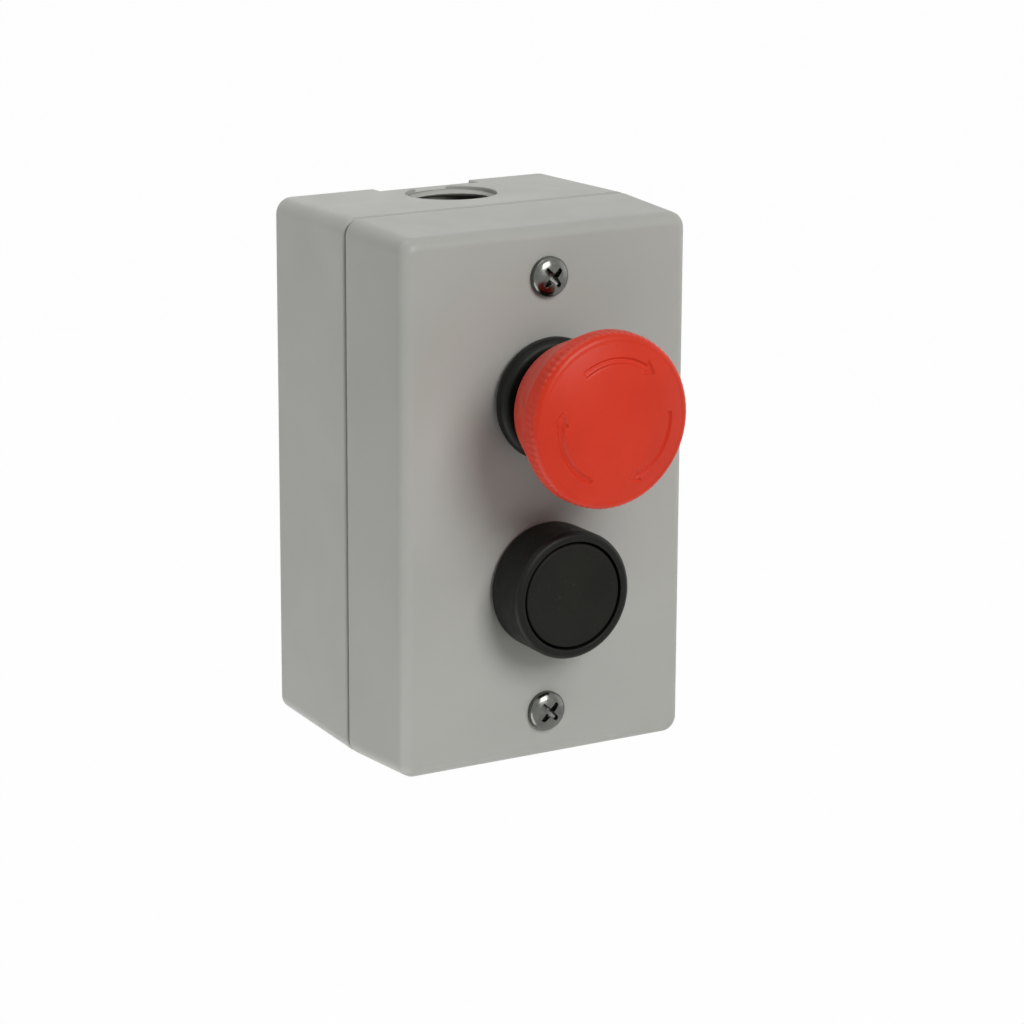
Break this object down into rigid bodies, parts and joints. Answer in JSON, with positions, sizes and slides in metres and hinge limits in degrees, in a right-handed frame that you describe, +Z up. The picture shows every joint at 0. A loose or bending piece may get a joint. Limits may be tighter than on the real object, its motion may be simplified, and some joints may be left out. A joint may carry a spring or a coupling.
{
  "type": "pushbutton control station",
  "caption": "Grey cast box for a wall, with a red mushroom-head stop button that turns to release above a flush black start button in a guard ring, and a conduit hole in the top.",
  "frame": {"origin": "centre of the wall face, on the wall plane", "axes": "+Y into the wall, so the buttons face -Y; +Z up; +X to the right seen from the front"},
  "size_m": [0.0762, 0.0928, 0.1266],
  "materials": {
    "paint": "satin grey paint on die-cast aluminium",
    "red_plastic": "satin",
    "black_plastic": "satin",
    "black_cap": "matt",
    "black_nylon": "matt",
    "black_rubber": "matt",
    "pale_plastic": "matt",
    "red_nylon": "matt",
    "green_nylon": "matt",
    "zinc": "bright zinc plate",
    "spring_steel": "drawn wire",
    "brass_parts": "plain"
  },
  "bodies": {
    "station": {"rear_box": "paint", "front_cover": "paint", "cover_gasket": "black_rubber", "cover_screws": "zinc", "earth_screw": "brass_parts", "earth_washer": "zinc", "locknuts": "black_nylon", "holder_screws": "zinc", "terminal_screws": "zinc", "stop_collar": "black_plastic", "stop_panel_gasket": "black_rubber", "stop_spring": "spring_steel", "stop_contact_holder": "black_nylon", "stop_contact_housing": "pale_plastic", "stop_contact_lid": "pale_plastic", "stop_contact_spring": "spring_steel", "stop_terminals": "brass_parts", "start_guard": "black_plastic", "start_panel_gasket": "black_rubber", "start_spring": "spring_steel", "start_contact_holder": "black_nylon", "start_contact_housing": "pale_plastic", "start_contact_lid": "pale_plastic", "start_contact_spring": "spring_steel", "start_terminals": "brass_parts"},
    "stop_slider": {"stop_stem": "black_nylon", "stop_stem_clip": "spring_steel", "stop_head_ring": "spring_steel", "stop_twist_spring": "spring_steel"},
    "stop_knob": {"stop_head": "red_plastic"},
    "stop_contact": {"stop_contact_plunger": "red_nylon", "stop_contact_bridge": "brass_parts"},
    "start_slider": {"start_stem": "black_nylon", "start_stem_clip": "spring_steel", "start_cap": "black_cap"},
    "start_contact": {"start_contact_plunger": "green_nylon", "start_contact_bridge": "brass_parts"}
  },
  "joints": [
    {"name": "stop_press", "type": "slide", "parent": "station", "child": "stop_slider", "axis": [0, 1, 0], "range_m": [0, 0.005], "stiffness_N_per_m": 1200, "springref_m": -0.012, "deforming": ["stop_spring"]},
    {"name": "stop_twist", "type": "hinge", "parent": "stop_slider", "child": "stop_knob", "pos_m": [0, -0.0616, 0.0233], "axis": [0, 1, 0], "range_deg": [0, 40], "stiffness_Nm_per_rad": 0.05, "springref_deg": -17.19, "deforming": ["stop_twist_spring"]},
    {"name": "stop_contact_travel", "type": "slide", "parent": "station", "child": "stop_contact", "axis": [0, 1, 0], "range_m": [0, 0.005], "deforming": ["stop_contact_spring"]},
    {"name": "start_press", "type": "slide", "parent": "station", "child": "start_slider", "axis": [0, 1, 0], "range_m": [0, 0.004], "stiffness_N_per_m": 600, "springref_m": -0.01, "deforming": ["start_spring"]},
    {"name": "start_contact_travel", "type": "slide", "parent": "station", "child": "start_contact", "axis": [0, 1, 0], "range_m": [0, 0.004], "deforming": ["start_contact_spring"]}
  ],
  "couplings": [
    {"joint": "stop_contact_travel", "follows": "stop_press", "ratio": 1},
    {"joint": "start_contact_travel", "follows": "start_press", "ratio": 1}
  ]
}
